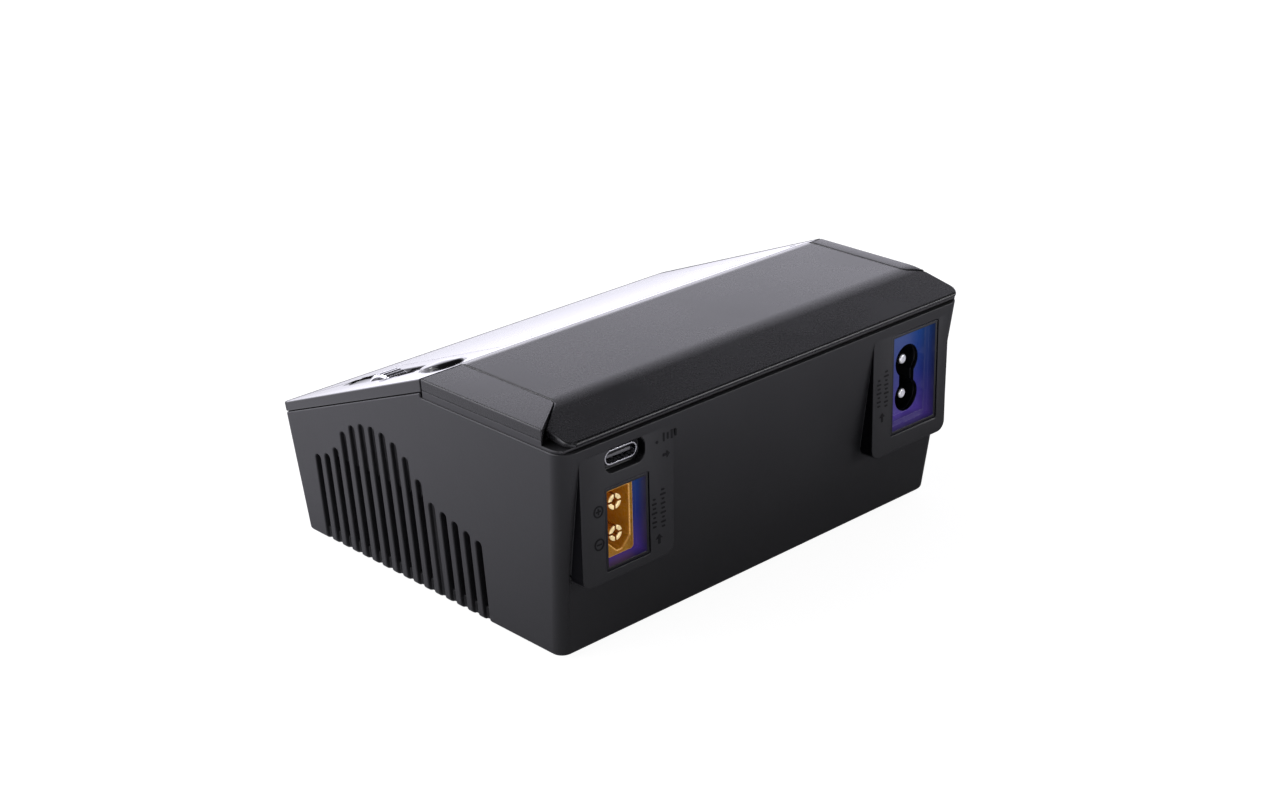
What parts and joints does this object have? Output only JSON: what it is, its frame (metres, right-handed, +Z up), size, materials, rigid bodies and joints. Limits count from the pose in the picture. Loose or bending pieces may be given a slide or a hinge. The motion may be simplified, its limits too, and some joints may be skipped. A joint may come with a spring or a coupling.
{
  "type": "balance battery charger",
  "caption": "Desktop balance charger for lithium packs: leaning tub case, sloping display panel with scroll wheel, side fan grille, mains and DC inlets at the rear.",
  "frame": {"origin": "on the surface the feet stand on, under the centre of the case's box", "axes": "+Z up, -Y to the front where the charging sockets and the sloping panel are, +Y to the rear inlets, +X to the side with the fan grille"},
  "size_m": [0.1248, 0.0994, 0.0548],
  "materials": {
    "case_plastic": "fine spark-textured ABS",
    "top_plastic": "fine spark-textured ABS, slightly lighter",
    "gloss_panel": "polished black",
    "display_glass": "tinted window",
    "rubber": "soft matt rubber",
    "black_plastic": "moulded black nylon",
    "amber_plastic": "translucent amber nylon",
    "ivory_plastic": "natural nylon",
    "blue_liner": "blue to violet tinted, lit",
    "gold_contact": "gold plate",
    "steel": "zinc or nickel plate",
    "aluminium": "extruded",
    "circuit_board": "solder mask over glass fibre",
    "ferrite": "sintered ferrite",
    "coil_tape": "polyester tape over windings",
    "copper": "enamelled copper",
    "capacitor_sleeve": "shrink sleeve",
    "wire_brown": "PVC insulation",
    "wire_red": "silicone insulation",
    "wire_black": "PVC insulation",
    "light_pipe": "clear acrylic",
    "ribbon": "flat flexible cable"
  },
  "bodies": {
    "case": {"tub": "case_plastic", "base_plate": "case_plastic", "upper_frame": "case_plastic", "rear_cover": "top_plastic", "right_cap": "top_plastic", "left_cap": "top_plastic", "front_panel": "gloss_panel", "display_window": "display_glass", "display_module": "steel", "status_lens": "light_pipe", "wheel_switch": "steel", "button_switch": "steel", "control_board": "circuit_board", "main_board": "circuit_board", "board_standoffs": "gold_contact", "inlet_board": "circuit_board", "dc_inlet_housing": "amber_plastic", "dc_inlet_pins": "gold_contact", "dc_recess_liner": "blue_liner", "usb_shell": "steel", "usb_tongue": "black_plastic", "mains_inlet": "black_plastic", "mains_pins": "steel", "ac_recess_liner": "blue_liner", "charge_outlet": "amber_plastic", "charge_contacts": "gold_contact", "balance_socket": "ivory_plastic", "balance_pins": "steel", "fan_frame": "black_plastic", "fan_bracket": "case_plastic", "transformer_core": "ferrite", "transformer_coil": "coil_tape", "bulk_capacitors": "capacitor_sleeve", "power_inductor": "copper", "heatsink": "aluminium", "power_transistors": "black_plastic", "buzzer": "black_plastic", "display_ribbon": "ribbon", "mains_wires": "wire_brown", "dc_wires": "wire_red", "fan_cable": "wire_black", "rubber_feet": "rubber", "case_screws": "steel", "fan_screws": "steel", "board_screws": "steel"},
    "scroll_wheel": {"scroll_wheel": "rubber", "wheel_axle": "steel"},
    "wheel_yoke": {"wheel_yoke": "black_plastic"},
    "back_button": {"back_button": "gloss_panel"},
    "fan_rotor": {"fan_rotor": "black_plastic", "fan_shaft": "steel"}
  },
  "joints": [
    {"name": "wheel_press", "type": "slide", "parent": "case", "child": "wheel_yoke", "axis": [0, 0.367, -0.9302], "range_m": [0, 0.0005], "stiffness_N_per_m": 600},
    {"name": "wheel_turn", "type": "hinge", "parent": "wheel_yoke", "child": "scroll_wheel", "pos_m": [0.047, -0.02475, 0.03647], "axis": [1, 0, 0], "continuous": true},
    {"name": "button_press", "type": "slide", "parent": "case", "child": "back_button", "axis": [0, 0.367, -0.9302], "range_m": [0, 0.0005], "stiffness_N_per_m": 600},
    {"name": "fan_turn", "type": "hinge", "parent": "case", "child": "fan_rotor", "pos_m": [0.0345, -0.01035, 0.0208], "axis": [1, 0, 0], "continuous": true}
  ]
}
